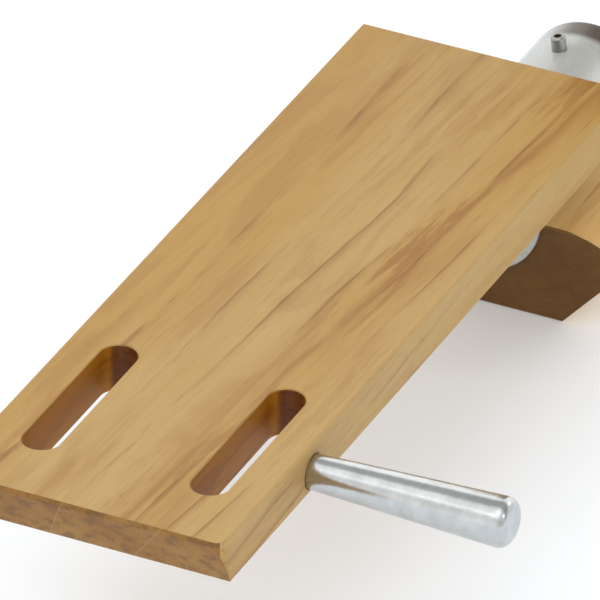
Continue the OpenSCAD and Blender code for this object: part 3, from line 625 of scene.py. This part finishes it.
def make_clamp_bolt(material):
    """A carriage bolt: domed head, square neck, plain shank and a rolled thread through the knob."""
    low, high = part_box("clamp_bolt")
    centre_y, centre_z = (low.y + high.y) / 2, (low.z + high.z) / 2
    head_r = (high.y - low.y) / 2
    face = low.x + CLAMP_HEAD_H
    dome_steps = 12
    quarter = [(i + 0.35) / dome_steps * math.pi / 2 for i in range(dome_steps - 1)] + [math.pi / 2]
    dome = [(low.x + CLAMP_HEAD_H * (1 - math.cos(a)), head_r * math.sin(a)) for a in quarter]
    dome.append((face, head_r - 0.3 * MM))
    half = CLAMP_RADIUS
    neck_end = face + CLAMP_NECK_L
    corners = ((-half, -half), (half, -half), (half, half), (-half, half))
    neck_v = [Vector((x, y, z)) for x in (face, neck_end) for y, z in corners]
    neck_f = grid_faces(2, 4) + [(3, 2, 1, 0), (4, 5, 6, 7)]
    shank_end = neck_end + CLAMP_PLAIN_L
    shank = lathe([(neck_end, CLAMP_RADIUS), (shank_end, CLAMP_RADIUS)])
    rod_v, rod_f = threaded_rod(CLAMP_RADIUS, THREAD_DEPTH, THREAD_PITCH, high.x - shank_end, 1.6 * MM)
    rod_v = [v + Vector((shank_end, 0, 0)) for v in rod_v]
    vertices, faces = merge(lathe(dome), (neck_v, neck_f), shank, (rod_v, rod_f))
    vertices = [v + Vector((0, centre_y, centre_z)) for v in vertices]
    piece = new_piece("carriage_bolt", vertices, faces, material)
    sharpen(piece, 35)
    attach(piece, "head")
    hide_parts("clamp_bolt")


def sharpen(piece, angle):
    """Smooth shading, but with edges over the angle kept sharp."""
    bpy.context.view_layer.objects.active = piece
    bpy.ops.object.select_all(action="DESELECT")
    piece.select_set(True)
    bpy.ops.object.shade_smooth_by_angle(angle=math.radians(angle))


LEATHER = 2.4 * MM
SKIVED = 0.62              # the share of the thickness left at a thinned end
SKIVE_LENGTH = 5 * MM
CUT_EDGE = 1.6 * MM        # how far in a cut edge is rounded, and how deep
CUT_DEPTH = 0.9 * MM
WAVE_DEPTH = 0.09 * MM
NOSE_RADIUS = 5 * MM
BEVEL_ANGLE = math.radians(30)
FACING_DOWN = 15 * MM      # how far a facing reaches down the bevel


def facing_path(low, high):
    """Points and outward directions on the wood under a facing, in X-Z: up the face and over the nose."""
    nose = Vector((low.x + LEATHER + NOSE_RADIUS, high.z - LEATHER - NOSE_RADIUS))
    points = []
    straight, turn, slope = 26, 26, 14      # steps up the face, round the nose and down the bevel
    for i in range(straight):
        z = low.z + (nose.y - low.z) * i / straight
        points.append((Vector((nose.x - NOSE_RADIUS, z)), Vector((-1, 0))))
    for i in range(turn + 1):
        a = math.pi + (BEVEL_ANGLE - math.pi) * i / turn
        out = Vector((math.cos(a), math.sin(a)))
        points.append((nose + out * NOSE_RADIUS, out))
    out = Vector((math.cos(BEVEL_ANGLE), math.sin(BEVEL_ANGLE)))
    down = Vector((math.sin(BEVEL_ANGLE), -math.cos(BEVEL_ANGLE)))
    edge = nose + out * NOSE_RADIUS
    for i in range(1, slope + 1):
        points.append((edge + down * FACING_DOWN * i / slope, out))
    return points


PEG_STUD_L = 11 * MM
PEG_STUD_R = 3.95 * MM
PEG_ROOT_R = 6.9 * MM
PEG_TIP_ROUND = 4.8 * MM


def make_peg(material):
    """The turned peg: a threaded stud, an eased root, a long taper and a well rounded tip."""
    low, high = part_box("leg_peg")
    widest = (high.z - low.z) / 2 - 0.02 * MM
    root = low.x + PEG_STUD_L
    centre = Vector((0, (low.y + high.y) / 2, (low.z + high.z) / 2))
    ease = 0.4 * MM
    profile = [(root, 1.0 * MM), (root, PEG_ROOT_R - ease), (root + 0.12 * MM, PEG_ROOT_R - 0.12 * MM),
               (root + ease, PEG_ROOT_R)]
    shoulder = high.x - PEG_TIP_ROUND
    taper_steps, tip_steps = 24, 12
    for i in range(1, taper_steps + 1):
        t = i / taper_steps
        profile.append((root + ease + (shoulder - root - ease) * t, PEG_ROOT_R + (widest - PEG_ROOT_R) * t))
    for i in range(1, tip_steps + 1):
        a = math.radians(90 * i / tip_steps)
        profile.append((shoulder + PEG_TIP_ROUND * math.sin(a),
                        widest - PEG_TIP_ROUND * (1 - math.cos(a))))
    inset = 0.5 * MM            # how far the stud reaches into the peg
    stud_v, stud_f = threaded_rod(PEG_STUD_R, THREAD_DEPTH, THREAD_PITCH, PEG_STUD_L + inset, 0.8 * MM)
    stud_v = [Vector((root + inset - v.x, -v.y, v.z)) for v in stud_v]
    vertices, faces = merge(lathe(profile, 96), (stud_v, stud_f))
    piece = new_piece("turned_peg", [v + centre for v in vertices], faces, material)
    sharpen(piece, 50)
    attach(piece, "leg_peg")
    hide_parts("leg_peg")


def make_facing(node, body, material):
    """A strip of leather glued over a jaw's nose: thinned at its ends, rounded at its cut edges, and with
    shallow waves where it has been pressed."""
    low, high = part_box(node)
    mirror = -1 if (low.x + high.x) / 2 < 0 else 1
    if mirror < 0:
        low, high = Vector((-high.x, low.y, low.z)), Vector((-low.x, high.y, high.z))
    path = facing_path(low, high)
    lengths = [0.0]
    for (a, _), (b, _) in zip(path, path[1:]):
        lengths.append(lengths[-1] + (b - a).length)
    total = lengths[-1]
    width = high.y - low.y
    across = 60
    outer, inner = [], []
    for (point, out), s in zip(path, lengths):
        end = min(s, total - s)
        for k in range(across + 1):
            y = low.y + width * k / across
            side = min(y - low.y, high.y - y)
            full = smooth_step(end / SKIVE_LENGTH)
            thick = LEATHER * (SKIVED + (1 - SKIVED) * full)
            thick -= CUT_DEPTH * (1 - smooth_step(side / CUT_EDGE)) ** 2
            wave = math.sin(y * 310 + s * 90) * math.sin(s * 240 - y * 120)
            thick -= WAVE_DEPTH * (1 + wave) * full * smooth_step(side / SKIVE_LENGTH)
            place = point + out * thick
            outer.append(Vector((mirror * place.x, y, place.y)))
            inner.append(Vector((mirror * point.x, y, point.y)))
    rows, columns = len(path), across + 1
    count = rows * columns
    top = grid_faces(rows, columns, close_columns=False)
    faces = top + [tuple(index + count for index in reversed(face)) for face in top]
    rim = (list(range(columns)) + [i * columns + columns - 1 for i in range(1, rows)]
           + [(rows - 1) * columns + k for k in range(columns - 2, -1, -1)]
           + [i * columns for i in range(rows - 2, 0, -1)])
    for a, b in zip(rim, rim[1:] + rim[:1]):
        faces.append((b, a, a + count, b + count))
    if mirror < 0:
        faces = [tuple(reversed(face)) for face in faces]
    piece = new_piece(node + "_leather", outer + inner, faces, material)
    sharpen(piece, 50)
    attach(piece, body)
    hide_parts(node)


def smooth_step(t):
    t = max(0.0, min(1.0, t))
    return t * t * (3 - 2 * t)


make_camera()
make_floor()
make_world()
for light in LIGHTS:
    area_light(*light)
bpy.context.scene.view_settings.view_transform = "Standard"
materials = make_materials()
dress_nodes(materials)
make_spring(materials["spring_metal"])
make_clamp_bolt(materials["screw_metal"])
make_peg(materials["peg_metal"])
make_facing("fixed_facing", "head", materials["jaw_leather"])
make_facing("moving_facing", "moving_jaw", materials["jaw_leather"])
